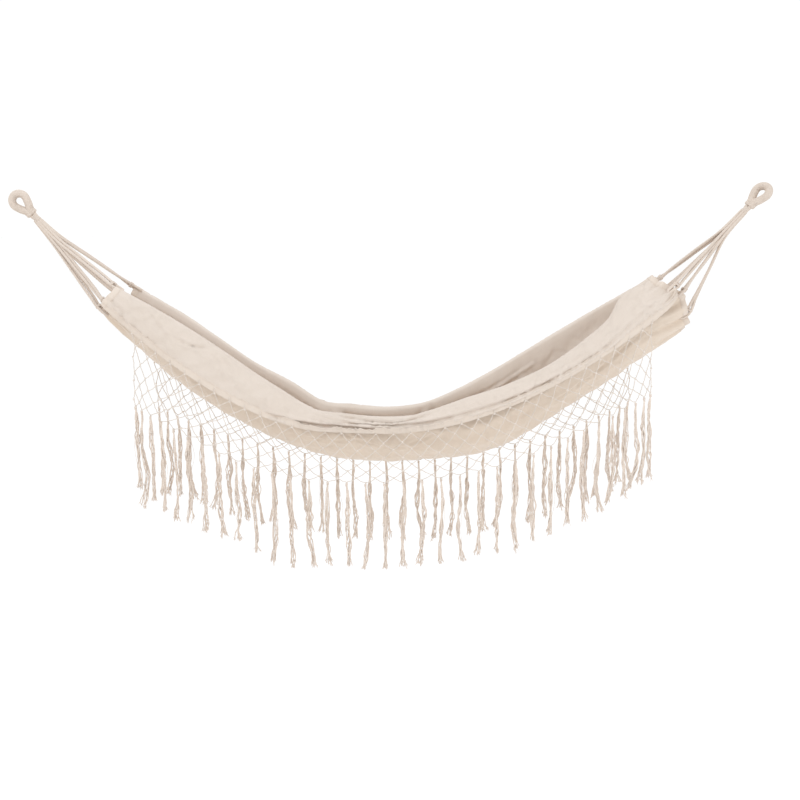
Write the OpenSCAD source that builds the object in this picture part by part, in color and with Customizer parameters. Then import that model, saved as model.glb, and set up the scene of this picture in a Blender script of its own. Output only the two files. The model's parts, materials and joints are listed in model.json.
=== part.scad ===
// Cotton hammock: a cloth bed hung from rope eyes, with a knotted net and tassels along each edge.
// Origin at the bearing point of the left eye. X runs along the length, Z is up.

/* [Hanging] */
// Distance between the bearing points of the two eyes
hang_span = 2090; // [2080:1:2100]
// Slope of the eyes and neck below the horizontal, degrees
neck_slope = 48; // [46:1:50]
// Distance from a bearing point to the end of its neck
neck_reach = 80; // [80:1:86]
// Turn of the right eye about its own axis, degrees
right_eye_turn = 35; // [0:1:38]

/* [Eyes] */
// Diameter of the served rope of an eye
eye_rope_d = 23; // [21:1:24]
// Width of the hole in an eye
eye_hole_w = 18; // [16:1:20]
// Diameter of the bound neck below an eye
neck_d = 17; // [15:1:19]

/* [Cords] */
// Diameter of one strand of a suspension cord
strand_d = 8; // [6:0.5:8.5]
// Diameter of the gathered strands where they leave the neck
bundle_d = 46; // [44:1:50]
// Distance from the neck to where the cords separate
bundle_len = 40; // [36:1:46]

/* [Bed cloth] */
// Half the length of the bed along its belly line, measured level
belly_half = 830; // [820:1:840]
// Half the length of the bed along its rims, measured level
rim_half = 777; // [768:1:786]
// Depth of the rims below the bearing points at mid length
rim_drop = 622; // [612:1:632]
// Depth of the belly below the bearing points at mid length
belly_drop = 766; // [756:1:776]
// Depth of the hanging edges below the bearing points at mid length
edge_drop = 654; // [650:1:660]
// Half the width between the rims
rim_half_w = 105; // [100:1:110]
// Thickness of the pleated cloth
cloth_t = 10; // [8:1:12]
// Height of the hem along each edge
edge_hem_h = 20; // [16:1:24]

/* [Fringe] */
// Depth of the lowest knots below the bearing points at mid length
knot_drop = 801; // [796:1:810]
// Spacing of the near knots along their edge, at mid length
near_pitch = 53.5; // [52:0.5:54]
// Spacing of the far knots along their edge, at mid length
far_pitch = 50; // [48:0.5:51]
// Thickness of a net strand
net_strand_d = 2.4; // [2:0.1:3]
// Length of a tassel below its knot
tassel_len = 232; // [200:1:240]
// Diameter of a tassel
tassel_d = 16; // [12:1:18]

/* [Hidden] */
$fn = 40;
half = hang_span / 2;
big = 1200;
// The two hinge points, where the necks end
pivot_x = half - neck_reach * cos(neck_slope);
pivot_z = -neck_reach * sin(neck_slope);
// Eyes: a served ring that closes into two legs and a bound neck
whipping_len = 18;
eye_apex = 70;
eye_r = (eye_hole_w + eye_rope_d) / 2;
eye_centre = eye_hole_w / 2;
leg_angle = acos(eye_r / (eye_apex - eye_centre));
leg_len = sqrt(pow(eye_apex - eye_centre, 2) - eye_r * eye_r);
leg_root = 1.5;
leg_step = 0.6;
// Cords: five doubled cords to each end of the cloth
cord_count = 5;
bundle_gap = 12;
cord_ring_r = 16;
strand_gap = 0.4;
// Bed: how each line rises from mid length towards the ends
rim_slope = 0.617;
rim_round = 200;
edge_rise = 5.76e-4;
belly_rise = 6.2e-4;
near_knot_rise = 4.4e-4;
far_knot_rise = 3.5e-4;
edge_half = 795;
stations = 32;
end_hem_part = 0.015;
end_hem_grow = 3;
hem_reach = 86;
hem_steps = 12;
arc_steps = 7;
lip_out = 26;
lip_round = 8;
hem_t = 8;
slit = 0.3;
// Fringe: rows of knots between the edge and the tassels
net_rows = 7;
net_crowding = 1.25;
stitch_pitch = 49.5;
stitch_crowding = 0.0075;
pairs = 17;
fringe_half = 722;
net_y = rim_half_w + 22;
net_gap = 1;
diamond_part = 0.93;
triangle_part = 0.8;
tassel_knot_d = 11;
tassel_colour = [0.9, 0.85, 0.78];
cloth_colour = [0.89, 0.85, 0.79];
rope_colour = [0.87, 0.81, 0.73];

row_names = ["near", "far"];

// Heights of the four long lines at a distance u from mid length
function rim_z(u) = -rim_drop + rim_slope * (sqrt(u * u + rim_round * rim_round) - rim_round);
function edge_z(u) = -edge_drop + edge_rise * u * u;
function belly_z(u) = -belly_drop + belly_rise * u * u;
function knot_z(u, s) = -knot_drop + (s < 0 ? near_knot_rise : far_knot_rise) * u * u;

// A station t runs from -1 to 1 and leans with the end hems, so each cross-section is flat
function low_z(t) = belly_z(t * belly_half);
function top_z(t) = rim_z(t * rim_half);
function lean_x(t, z) =
    t * (belly_half - (belly_half - rim_half) * (z - low_z(t)) / (top_z(t) - low_z(t)));
function hang_x(t) = lean_x(t, edge_z(lean_x(t, edge_z(t * edge_half))));
function hang_z(t) = edge_z(hang_x(t));

// One side of the U-shaped cross-section: out along the belly, round the lip, in along the hollow
function side(t) =
    let (low = low_z(t), top = top_z(t), wide = rim_half_w, wall = cloth_t)
    let (fold = hang_z(t) + edge_hem_h, out = wide + lip_out, deep = top - low)
    let (reach = acos((top - fold) / deep))
    concat(
        [for (i = [0:arc_steps]) let (a = reach * i / arc_steps) [wide * sin(a), top - deep * cos(a)]],
        [[out, fold], [out, top - 2 * lip_round], [out - lip_round, top], [wide - wall + lip_round, top]],
        [for (i = [arc_steps:-1:0]) let (a = 84 * i / arc_steps)
            [(wide - wall) * sin(a), top - (deep - wall) * cos(a)]]
    );
function mirrored(points) = [for (i = [len(points) - 2:-1:1]) [-points[i].x, points[i].y]];
function section(t) = [for (p = concat(side(t), mirrored(side(t)))) [lean_x(t, p.y), p.x, p.y]];
function hem_section(t, s) = let (z = hang_z(t), y = rim_half_w + lip_out, top = z + edge_hem_h - slit)
    [for (p = [[y - hem_t, z], [y, z], [y, top], [y - hem_t, top]]) [lean_x(t, p.y), s * p.x, p.y]];

// Closed skin through a list of rings
module loft(rings) {
    n = len(rings[0]);
    last = len(rings) - 1;
    polyhedron(
        points = [for (ring = rings, p = ring) p],
        faces = concat(
            [[for (i = [0:n - 1]) i]],
            [[for (i = [n - 1:-1:0]) last * n + i]],
            [for (r = [0:last - 1], i = [0:n - 1]) [r * n + i, (r + 1) * n + i, r * n + (i + 1) % n]],
            [for (r = [0:last - 1], i = [0:n - 1])
                [(r + 1) * n + i, (r + 1) * n + (i + 1) % n, r * n + (i + 1) % n]]
        )
    );
}

// Everything is drawn about mid length and moved so that the left eye bears on the origin
module placed(end = 1) {
    translate([half, 0, 0])
        mirror([end < 0 ? 1 : 0, 0, 0])
            children();
}
// Frame of an eye: x runs from the bearing point down to the neck
module along_neck(turn = 0) {
    translate([half, 0, 0])
        rotate([0, 180 - neck_slope, 0])
            rotate([90 + turn, 0, 0])
                children();
}
module beyond(x) {
    translate([x, -big / 2, -big / 2])
        cube(big);
}
module rod(a, b, d) {
    v = b - a;
    translate(a)
        rotate([0, acos(v.z / norm(v)), atan2(v.y, v.x)])
            cylinder(h = norm(v), d = d);
}

// Rope eye: a ring served all round, whose legs close towards the neck
module eye(turn) {
    color(rope_colour)
        along_neck(turn)
            difference() {
                union() {
                    translate([eye_centre, 0, 0])
                        rotate([0, 0, leg_angle])
                            rotate_extrude(angle = 360 - 2 * leg_angle)
                                translate([eye_r, 0])
                                    circle(d = eye_rope_d);
                    for (s = [-1, 1]) {
                        root = [eye_centre + eye_r * cos(leg_angle), s * eye_r * sin(leg_angle), 0];
                        along = ([eye_apex, 0, 0] - root) / leg_len;
                        rod(root - leg_root * along, [eye_apex, 0, 0], eye_rope_d - leg_step);
                    }
                }
                beyond(neck_reach - whipping_len);
            }
}
// Twine bound round the neck
module whipping() {
    color(rope_colour)
        along_neck()
            translate([neck_reach - whipping_len, 0, 0])
                rotate([0, 90, 0])
                    cylinder(h = whipping_len, d = neck_d);
}
// Strands gathered together just below the neck
module bundle() {
    color(rope_colour)
        along_neck()
            translate([neck_reach + bundle_gap, 0, 0])
                rotate([0, 90, 0])
                    cylinder(h = bundle_len, d1 = neck_d, d2 = bundle_d);
}

// Where cord i leaves the bundle, and where it meets the end hem
function ring_angle(i) = -90 + 72 * (i - 3);
function bundle_point(i) = let (a = ring_angle(i), reach = neck_reach + bundle_gap + bundle_len)
    [half - reach * cos(neck_slope) - cord_ring_r * sin(a) * sin(neck_slope),
     cord_ring_r * cos(a),
     -reach * sin(neck_slope) + cord_ring_r * sin(a) * cos(neck_slope)];
left_hem_angles = [-82, -62, -40, 62, 82];
right_hem_angles = [-82, -64, -40, 74, 84];
function hem_point(i, end) =
    let (a = end < 0 ? left_hem_angles[i - 1] : right_hem_angles[i - 1])
    let (z = top_z(1) - (top_z(1) - low_z(1)) * cos(a))
    [lean_x(1, z), rim_half_w * sin(a), z];
// Doubled suspension cord, cut where it meets the bundle and the end hem
module cord(i, end) {
    a = bundle_point(i);
    b = hem_point(i, end);
    v = (b - a) / norm(b - a);
    turn = ring_angle(i) + 90;
    beside = cross(v, [-sin(turn) * sin(neck_slope), cos(turn), sin(turn) * cos(neck_slope)]);
    apart = cross(v, beside) * (strand_d + strand_gap) / 2;
    end_lean = atan2(belly_half - rim_half, top_z(1) - low_z(1));
    color(rope_colour)
        intersection() {
            for (s = [-1, 1])
                rod(a - 40 * v + s * apart, b + 40 * v + s * apart, strand_d);
            translate([belly_half, 0, low_z(1)])
                rotate([0, -end_lean, 0])
                    beyond(0);
            translate([half, 0, 0])
                rotate([0, 180 - neck_slope, 0])
                    beyond(neck_reach + bundle_gap + bundle_len);
        }
}

// A point of the trough's outer or inner face, at angle a round from the belly line
function wall_point(t, a, inset) =
    let (low = low_z(t) - end_hem_grow, top = top_z(t), wide = rim_half_w + end_hem_grow - inset)
    let (z = top - (top - low - inset) * cos(a))
    [lean_x(t, z), wide * sin(a), z];
// Band sewn across each end of the cloth, where the cords pass through
module end_hem() {
    t_hem = 1 - end_hem_part;
    thick = cloth_t + 2 * end_hem_grow;
    color(cloth_colour)
        loft([for (k = [-hem_steps:hem_steps]) let (a = hem_reach * k / hem_steps)
            [wall_point(t_hem, a, 0), wall_point(1, a, 0), wall_point(1, a, thick), wall_point(t_hem, a, thick)]]);
}
// Cloth bed: a long hanging trough whose side flaps fold outwards over the rims
module bed_cloth() {
    t_end = 1 - end_hem_part;
    color(cloth_colour)
        loft([for (k = [0:stations]) section(t_end * (2 * k / stations - 1))]);
}
// Folded hem along each hanging edge, which the net is knotted to
module edge_hem(s) {
    t_end = 1 - end_hem_part;
    rings = [for (k = [0:stations]) hem_section(t_end * s * (2 * k / stations - 1), s)];
    color(cloth_colour)
        loft(rings);
}

// Net: knots half a spacing apart from row to row, seen square on
function pitch(s) = s < 0 ? near_pitch : far_pitch;
// Place of knot k from mid length. The knots crowd together towards the ends of the fringe
function knot_u(k, s) =
    let (last = pairs * pitch(s), arc = k * pitch(s))
    arc * (1 - (1 - fringe_half / last) * pow(abs(arc) / last, 3));
// Place of hem stitch k from mid length. The net spreads outwards below its stitches
function stitch_u(k) = k * stitch_pitch * (1 - stitch_crowding * abs(k));
function net_knot(k, row, s) =
    let (u = stitch_u(k), v = knot_u(k, s))
    let (top = [u, edge_z(u) - net_gap], low = [v, knot_z(v, s) + 2 * net_gap])
    low + (top - low) * pow(1 - row / net_rows, net_crowding);
function shrunk(points, part) =
    let (n = len(points), c = [for (k = [0, 1]) [for (p = points) p[k]] * [for (p = points) 1 / n]])
    [for (p = points) c + (p - c) * part];
// Openings are listed with n corners each and cut as one polygon of many paths
module cut_openings(openings, n) {
    polygon([for (opening = openings, p = opening) p],
        [for (j = [0:len(openings) - 1]) [for (i = [0:n - 1]) n * j + i]]);
}
module net(s) {
    last = 2 * pairs;
    upper = [for (k = [-last:last]) net_knot(k / 2, 0, s)];
    lower = [for (k = [last:-1:-last])
        net_knot(k / 2, k % 2 == 0 ? net_rows - 1 : net_rows, s) - [0, net_strand_d / 2]];
    diamonds = [for (row = [1:net_rows - 1], k = [-last + 1:last - 1]) if (abs(k + row) % 2 == 1)
        shrunk([net_knot(k / 2, row - 1, s), net_knot((k + 1) / 2, row, s),
            net_knot(k / 2, row + 1, s), net_knot((k - 1) / 2, row, s)], diamond_part)];
    triangles = [for (k = [-last + 1:2:last - 1])
        shrunk([net_knot((k - 1) / 2, 0, s), net_knot((k + 1) / 2, 0, s), net_knot(k / 2, 1, s)],
            triangle_part)];
    color(tassel_colour)
        translate([0, s * net_y, 0])
            rotate([90, 0, 0])
                linear_extrude(net_strand_d, center = true)
                    difference() {
                        polygon(concat(upper, lower));
                        cut_openings(diamonds, 4);
                        cut_openings(triangles, 3);
                    }
}
// Pair of tassels at equal distances from mid length, which hang at one height
module tassel_pair(s, i) {
    u = knot_u(i - 0.5, s);
    color(tassel_colour)
        for (end = [-1, 1])
            translate([end * u, s * net_y, knot_z(u, s)]) {
                translate([0, 0, -tassel_knot_d / 2])
                    sphere(d = tassel_knot_d);
                translate([0, 0, -tassel_len])
                    cylinder(h = tassel_len - tassel_knot_d / 2, d = tassel_d);
            }
}

placed(-1) eye(0);  // left_eye
placed() eye(right_eye_turn);  // right_eye
placed(-1) whipping();  // left_whipping
placed() whipping();  // right_whipping
placed(-1) bundle();  // left_bundle
placed() bundle();  // right_bundle
for (i = [1:cord_count]) {
    placed(-1) cord(i, -1);
    placed() cord(i, 1);
}
placed(-1) end_hem();  // left_end_hem
placed() end_hem();  // right_end_hem
placed() bed_cloth();
placed() edge_hem(-1);  // near_hem
placed() edge_hem(1);  // far_hem
placed() net(-1);  // near_net
placed() net(1);  // far_net
for (i = [1:pairs]) {
    placed() tassel_pair(-1, i);
    placed() tassel_pair(1, i);
}
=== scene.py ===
import json
import math

import bmesh
import bpy
import numpy as np
from mathutils import Matrix, Vector


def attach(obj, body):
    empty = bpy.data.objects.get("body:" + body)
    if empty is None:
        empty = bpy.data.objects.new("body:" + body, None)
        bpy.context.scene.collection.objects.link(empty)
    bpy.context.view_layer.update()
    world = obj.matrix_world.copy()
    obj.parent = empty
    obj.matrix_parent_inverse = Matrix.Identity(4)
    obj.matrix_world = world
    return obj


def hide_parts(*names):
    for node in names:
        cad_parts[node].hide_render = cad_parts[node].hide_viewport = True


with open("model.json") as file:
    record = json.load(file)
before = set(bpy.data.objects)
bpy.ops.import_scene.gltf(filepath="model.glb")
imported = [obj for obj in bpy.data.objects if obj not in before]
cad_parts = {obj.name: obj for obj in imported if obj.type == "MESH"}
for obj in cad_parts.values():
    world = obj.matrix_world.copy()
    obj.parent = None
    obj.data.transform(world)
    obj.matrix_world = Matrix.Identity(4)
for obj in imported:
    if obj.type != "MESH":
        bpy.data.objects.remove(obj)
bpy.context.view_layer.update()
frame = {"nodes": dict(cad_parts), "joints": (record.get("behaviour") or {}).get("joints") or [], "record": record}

# ---------------------------------------------------------------- sizes, metres
MOUNTS = {m["name"]: Vector(m["pos_m"]) for m in frame["record"]["mounts"]}
JOINTS = {j["name"]: j for j in frame["joints"]}
SPAN = MOUNTS["right_eye"].x - MOUNTS["left_eye"].x
MID = SPAN / 2
PIVOT_Z = JOINTS["bed_swing"]["pos_m"][2]
NET_Y = JOINTS["far_tassel_swing"]["pos_m"][1]
NECK_SLOPE = math.radians(48)
NECK_REACH = -PIVOT_Z / math.sin(NECK_SLOPE)
RIGHT_EYE_TURN = math.radians(48)
BELLY_HALF = 0.830
RIM_HALF = 0.777
RIM_HALF_W = 0.097
RIM_ROLL = 0.009
CLOTH_T = 0.0012
HEM_T = 0.0032
EDGE_HEM_W = 0.022
END_HEM_W = 0.019
STRAND_D = 0.0080
STRAND_LAY = 0.030
NECK_LEG_D = 0.0120
NECK_LEG_LAY = 0.045
SERVING_TWINE_D = 0.0030
WHIPPING_D = 0.0180
WHIPPING_TWINE_D = 0.0017
HITCH_YARN_R = 0.0021
STITCH_R = 0.0005
CORDS = 5
PAIRS = len([n for n in frame["nodes"] if n.startswith("near_tassels_")])
KNOT_PITCH = {-1: 0.0535, 1: 0.050}
FRINGE_HALF = 0.722
NET_ROWS = 7
NET_CROWDING = 1.25
STITCH_PITCH = 0.0495
STITCH_CROWDING = 0.0080
NET_YARN_R = 0.0011
TASSEL_LEN = 0.236
TASSEL_YARNS = 8
YARN_R = 0.0014


# ---------------------------------------------------------------- curves and paths
def curve_through(points):
    """Smooth function through (place, height) points."""
    xs = np.array([p[0] for p in points])
    ys = np.array([p[1] for p in points])
    slopes = np.gradient(ys, xs)

    def height(u):
        u = np.clip(np.asarray(u, float), xs[0], xs[-1])
        k = np.clip(np.searchsorted(xs, u) - 1, 0, len(xs) - 2)
        gap = xs[k + 1] - xs[k]
        f = (u - xs[k]) / gap
        rise = 3 * f**2 - 2 * f**3
        bow = (f**3 - 2 * f**2 + f) * slopes[k] * gap + (f**3 - f**2) * slopes[k + 1] * gap
        return ys[k] + (ys[k + 1] - ys[k]) * rise + bow

    return height


def path_through(points, step):
    """Evenly spaced points, about one step apart, on a smooth curve through a few points."""
    pts = np.array([tuple(p) for p in points], float)
    gaps = np.linalg.norm(np.diff(pts, axis=0), axis=1)
    at = np.concatenate([[0], np.cumsum(gaps)])
    fine = np.linspace(0, at[-1], 40 * len(pts))
    smooth = np.stack([curve_through(list(zip(at, pts[:, k])))(fine) for k in range(3)], axis=1)
    return even_steps(smooth, step=step)


def even_steps(pts, step=None, count=None):
    run = np.concatenate([[0], np.cumsum(np.linalg.norm(np.diff(pts, axis=0), axis=1))])
    count = count or max(3, int(round(run[-1] / step)) + 1)
    want = np.linspace(0, run[-1], count)
    return np.stack([np.interp(want, run, pts[:, k]) for k in range(pts.shape[1])], axis=1)


def unit(v):
    return v / np.maximum(np.linalg.norm(v, axis=-1, keepdims=True), 1e-12)


def soft_noise(seed, *axes):
    """Smooth, repeatable noise from -1 to 1, made of a few slanted waves."""
    dice = np.random.default_rng(seed)
    total = 0.0
    for _ in range(7):
        phase = dice.uniform(0, 2 * math.pi)
        total = total + np.sin(phase + sum(dice.normal(0, 1) * 2 * math.pi * a for a in axes))
    return total / 3.7


# ---------------------------------------------------------------- the lines of the bed
near_rim_shift = curve_through([(-0.83, 0.014), (-0.66, 0.020), (-0.50, 0.012), (-0.33, -0.012),
                                (-0.21, -0.026), (-0.10, 0.0), (0.05, 0.009), (0.20, 0.006),
                                (0.33, -0.014), (0.44, -0.020), (0.55, -0.004), (0.60, 0.008), (0.645, 0.036),
                                (0.69, 0.032), (0.73, 0.018), (0.83, 0.004)])
far_rim_shift = curve_through([(-0.83, 0.010), (-0.60, 0.002), (-0.50, -0.010), (-0.40, -0.024),
                               (-0.30, -0.027), (-0.21, -0.042), (-0.12, -0.020), (0.0, -0.008),
                               (0.12, -0.008), (0.22, -0.001), (0.40, 0.009), (0.83, 0.014)])
belly_shift = curve_through([(-0.83, 0.016), (-0.70, 0.009), (-0.50, 0.003), (-0.30, -0.004), (0.0, 0.003),
                             (0.36, -0.012), (0.52, 0.0), (0.65, -0.010), (0.75, -0.028), (0.83, -0.044)])
near_edge_shift = curve_through([(-0.83, 0.002), (-0.72, 0.0), (-0.60, -0.010), (-0.40, -0.024),
                                 (-0.25, -0.024), (-0.10, -0.006), (0.10, 0.0), (0.30, 0.006),
                                 (0.50, 0.012), (0.83, 0.004)])
near_knot_shift = curve_through([(-0.83, 0.012), (-0.60, -0.002), (-0.40, -0.018), (-0.30, -0.016),
                                 (-0.10, -0.002), (0.10, 0.006), (0.30, 0.008), (0.50, 0.020), (0.83, 0.026)])


def rim_z(u):
    return -0.622 + 0.617 * (np.sqrt(u * u + 0.04) - 0.2)


def belly_z(u):
    return -0.766 + 0.62 * u * u


def edge_z(u, side):
    if side < 0:
        return -0.654 + 0.576 * u * u + near_edge_shift(u)
    return -0.654 + 0.49 * u * u


def knot_z(u, side):
    return -0.801 + (0.44 * u * u + near_knot_shift(u) if side < 0 else 0.35 * u * u)


def lean_x(t, z):
    """Distance from mid length of a point at height z on the leaning station t."""
    low = belly_z(t * BELLY_HALF)
    top = rim_z(t * RIM_HALF)
    return t * (BELLY_HALF - (BELLY_HALF - RIM_HALF) * (z - low) / (top - low))


# ---------------------------------------------------------------- the bed surface
COLS = 280
WALL_ROWS = 46
ROLL_ROWS = 10
FLAP_ROWS = 28
ROWS = WALL_ROWS + ROLL_ROWS + FLAP_ROWS


def half_section(t, side):
    """Points from the belly line, up the wall, over the rim and down the flap to the hanging edge."""
    u = t * RIM_HALF
    low = float(belly_z(t * BELLY_HALF) + belly_shift(t * BELLY_HALF))
    shift = near_rim_shift(u) if side < 0 else far_rim_shift(u)
    top = float(rim_z(u) + shift)
    edge = max(float(edge_z(t * 0.795, side)), low - 0.03)
    slack = math.exp(-((u / 0.26) ** 2))
    radius = RIM_ROLL * (1 if side < 0 else 1.45)
    a = np.radians(np.linspace(0, 86, 24))
    deep = top - radius - low
    wall = np.stack([RIM_HALF_W * np.sin(a), top - radius - deep * np.cos(a)], axis=1)
    b = np.radians(np.linspace(160, 0, 9))
    rolled = radius * (1 + 0.5 * slack)
    roll = np.stack([RIM_HALF_W + rolled + rolled * np.cos(b), top - radius + radius * np.sin(b)], axis=1)
    out = RIM_HALF_W + 2 * rolled
    fall = np.linspace(0.06, 1, 12)
    bulge = 0.006 * np.sin(fall * math.pi) + 0.004 * fall
    flap = np.stack([out + bulge, top - radius + (edge - top + radius) * fall], axis=1)
    return np.concatenate([even_steps(wall, count=WALL_ROWS), even_steps(roll, count=ROLL_ROWS),
                           even_steps(flap, count=FLAP_ROWS)])


def row_places():
    """Place of each grid row: 0 on the belly line, 1 on the rims, 2 on the hanging edges. Near is negative."""
    half = np.concatenate([np.linspace(0, 1, WALL_ROWS), np.linspace(1, 2, ROLL_ROWS + FLAP_ROWS + 1)[1:]])
    return np.concatenate([-half[:0:-1], half])


def bed_surface():
    """Grid of points over the whole cloth, [station, across, xyz], near edge first."""
    ts = np.linspace(-1, 1, COLS)
    grid = np.zeros((COLS, 2 * ROWS - 1, 3))
    for k, t in enumerate(ts):
        near = half_section(t, -1)
        far = half_section(t, 1)
        across = np.concatenate([near[::-1] * [-1, 1], far[1:]])
        grid[k] = np.stack([MID + lean_x(t, across[:, 1]), across[:, 0], across[:, 1]], axis=1)
    return ts, grid


# How the cloth draws in near its ends: end, place across, spread over the places, then the shift in metres
END_SHAPES = ((-1, -1.1, 0.50, (0.010, 0.0, -0.008)), (-1, 1.1, 0.50, (0.018, 0.0, -0.016)),
              (1, -1.1, 0.42, (-0.034, 0.030, 0.009)), (1, 1.1, 0.50, (0.004, -0.012, -0.012)),
              (1, -0.72, 0.16, (0.020, -0.006, 0.016)), (1, 0.0, 0.35, (-0.016, 0.0, 0.0)))


# Place across the end hem of each doubled cord
HEM_PLACES = {-1: (-1.04, -0.76, -0.52, 0.75, 1.04), 1: (-1.55, -0.78, -0.46, 0.92, 1.06)}


def shape_ends(ts, grid):
    """Draws the rims in near the ends, and hollows the end hems between the cords that pull on them."""
    p = row_places()[None, :]
    for end, places in HEM_PLACES.items():
        gap = np.min([np.abs(p - place) for place in places], axis=0)
        pull = np.clip((end * ts - 0.93) / 0.07, 0, 1)[:, None] ** 2
        hollow = 0.013 * (1 - np.exp(-((gap / 0.20) ** 2)))
        if end < 0:
            hollow = hollow * np.clip((p + 1.25) / 0.2, 0.25, 1)
        grid[..., 0] -= end * pull * hollow
    for end, place, spread, shift in END_SHAPES:
        pull = np.clip((end * ts - 0.72) / 0.28, 0, 1)[:, None] ** 2
        share = pull * np.exp(-(((p - place) / spread) ** 2))
        grid += share[..., None] * np.array(shift)


def grid_normals(grid):
    along = np.gradient(grid, axis=0)
    across = np.gradient(grid, axis=1)
    return unit(np.cross(along, across))


LAYER_MARGIN = 0.15


def crease(grid, normals, points, depth, width=0.0045):
    """Groove along a line of (distance from mid length, place) points, with a raised lip on each side.

    Only the layer of cloth that the line lies on is moved, not a layer that hangs close behind it."""
    places = row_places()
    line = []
    for u, p in points:
        column = int(np.argmin(np.abs(grid[:, np.argmin(np.abs(places - p)), 0] - MID - u)))
        line.append([np.interp(p, places, grid[column, :, axis]) for axis in range(3)])
    path = path_through(line, 0.004)
    fade = np.sin(np.linspace(0.12, math.pi - 0.12, len(path))) ** 0.6
    flat = grid.reshape(-1, 3)
    reach = 4 * width
    low, high = path.min(axis=0) - reach, path.max(axis=0) + reach
    across = [place for _, place in points]
    layer = (places > min(across) - LAYER_MARGIN) & (places < max(across) + LAYER_MARGIN)
    inside = np.nonzero(np.all((flat > low) & (flat < high), axis=1) & np.tile(layer, len(grid)))[0]
    gap = np.linalg.norm(flat[inside, None] - path[None], axis=2)
    nearest = gap.argmin(axis=1)
    d = gap.min(axis=1) / width
    push = depth * fade[nearest] * (0.55 * np.exp(-((d - 1.9) ** 2)) - 0.70 * np.exp(-(d**2)))
    flat[inside] += normals.reshape(-1, 3)[inside] * push[:, None]


# Creases: depth in metres, then (distance from mid length, place across) along the line
CREASES = (
    (0.0060, ((-0.595, -1.49), (-0.545, -1.42), (-0.508, -1.30))),
    (0.0030, ((-0.680, -1.25), (-0.640, -1.45), (-0.600, -1.68))),
    (0.0030, ((-0.500, -1.36), (-0.480, -1.50), (-0.475, -1.72))),
    (0.0028, ((-0.470, -1.30), (-0.445, -1.48), (-0.440, -1.70))),
    (0.0035, ((-0.748, -1.60), (-0.738, -1.80), (-0.728, -2.0))),
    (0.0030, ((-0.766, -1.45), (-0.760, -1.70), (-0.752, -1.95))),
    (0.0085, ((-0.380, -1.95), (-0.300, -1.84), (-0.220, -1.74), (-0.150, -1.68), (-0.060, -1.72),
              (0.030, -1.80))),
    (0.0080, ((-0.220, -1.12), (-0.140, -1.22), (-0.060, -1.30), (0.040, -1.32), (0.120, -1.22))),
    (0.0075, ((-0.140, -1.42), (-0.040, -1.50), (0.080, -1.58), (0.200, -1.65), (0.340, -1.69),
              (0.460, -1.70))),
    (0.0050, ((0.360, -1.69), (0.480, -1.71), (0.600, -1.74), (0.680, -1.70), (0.750, -1.55))),
    (-0.0070, ((-0.780, 0.90), (-0.600, 0.90), (-0.420, 0.88), (-0.280, 0.84), (-0.170, 0.80))),
    (-0.0080, ((-0.180, 0.98), (-0.130, 0.88), (-0.070, 0.76))),
    (-0.0070, ((-0.165, 0.94), (-0.090, 0.91), (-0.010, 0.86))),
    (-0.0090, ((0.000, 0.72), (0.060, 0.86), (0.130, 1.02))),
    (-0.0060, ((0.130, 0.80), (0.280, 0.86), (0.420, 0.90))),
    (-0.0060, ((0.440, -0.50), (0.580, -0.52), (0.700, -0.54), (0.800, -0.58))),
    (-0.0045, ((-0.160, -0.80), (-0.060, -0.62), (0.060, -0.52))),
    (-0.0045, ((0.180, -0.84), (0.080, -0.64), (-0.020, -0.50))),
    (-0.0040, ((-0.400, -0.62), (-0.220, -0.58), (-0.060, -0.70))),
)


def wrinkle(ts, grid):
    """Gathers at the ends, soft pleats under the belly and faint waves on the flaps."""
    p = row_places()[None, :]
    t = ts[:, None]
    q = p / 2
    run = (1 - np.abs(t)) * BELLY_HALF
    end = np.sign(t)
    flap = np.clip((np.abs(p) - 0.95) / 0.2, 0, 1)
    near_flap = flap * (p < 0)
    wander = 0.35 * soft_noise(3, 1.2 * t, 1.1 * q)
    pleats = np.sin(2 * math.pi * (8.5 * q + wander + 0.2 * end))
    pleats = pleats + 0.4 * np.sin(2 * math.pi * (17 * q + 1.7 * wander))
    gather = 0.0075 * np.exp(-run / 0.070) * pleats * (1 - np.where(t < 0, 0.88, 0.45) * near_flap)
    long_pleats = 0.0034 * np.sin(2 * math.pi * (6 * q + 0.8 * soft_noise(5, 0.9 * t, 0.8 * q)))
    long_pleats = long_pleats * (0.35 + 0.65 * np.exp(-((t / 0.55) ** 2))) * (1 - 0.85 * flap)
    waves = 0.0030 * soft_noise(7, 2.2 * t + 1.3 * q, 2.6 * q) + 0.0012 * soft_noise(11, 9 * t - 3 * q, 5 * q)
    rims = np.exp(-(((np.abs(p) - 1.08) / 0.14) ** 2))
    push = gather + long_pleats + waves * (1 - 0.85 * rims)
    hold = np.clip((2 - np.abs(p)) / 0.10, 0.25, 1)
    return grid + grid_normals(grid) * (push * hold)[..., None]


# Rows straightened at the far edge, rows above them that set the way, and where the far side is drawn in
EDGE_ROWS = 6
GUIDE_ROWS = 4
FAR_LIMIT_Y = 0.134
DRAWN_IN = 0.70


def fold(grid):
    """Presses every crease of the table into the cloth, and straightens the edge of the far flap."""
    for depth, points in CREASES:
        crease(grid, grid_normals(grid), points, depth)
    last = -1 - EDGE_ROWS
    drop = grid[:, last] - grid[:, last - GUIDE_ROWS]
    for step in range(1, EDGE_ROWS + 1):
        grid[:, last + step] = grid[:, last] + drop * step / GUIDE_ROWS
    grid[..., 1] -= DRAWN_IN * np.clip(grid[..., 1] - FAR_LIMIT_Y, 0, None)


# ---------------------------------------------------------------- meshes
def mesh_piece(name, verts, faces, smooth=True):
    mesh = bpy.data.meshes.new(name)
    mesh.from_pydata([tuple(v) for v in verts], [], faces)
    mesh.update()
    if smooth:
        mesh.shade_smooth()
    piece = bpy.data.objects.new(name, mesh)
    bpy.context.scene.collection.objects.link(piece)
    return piece


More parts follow.
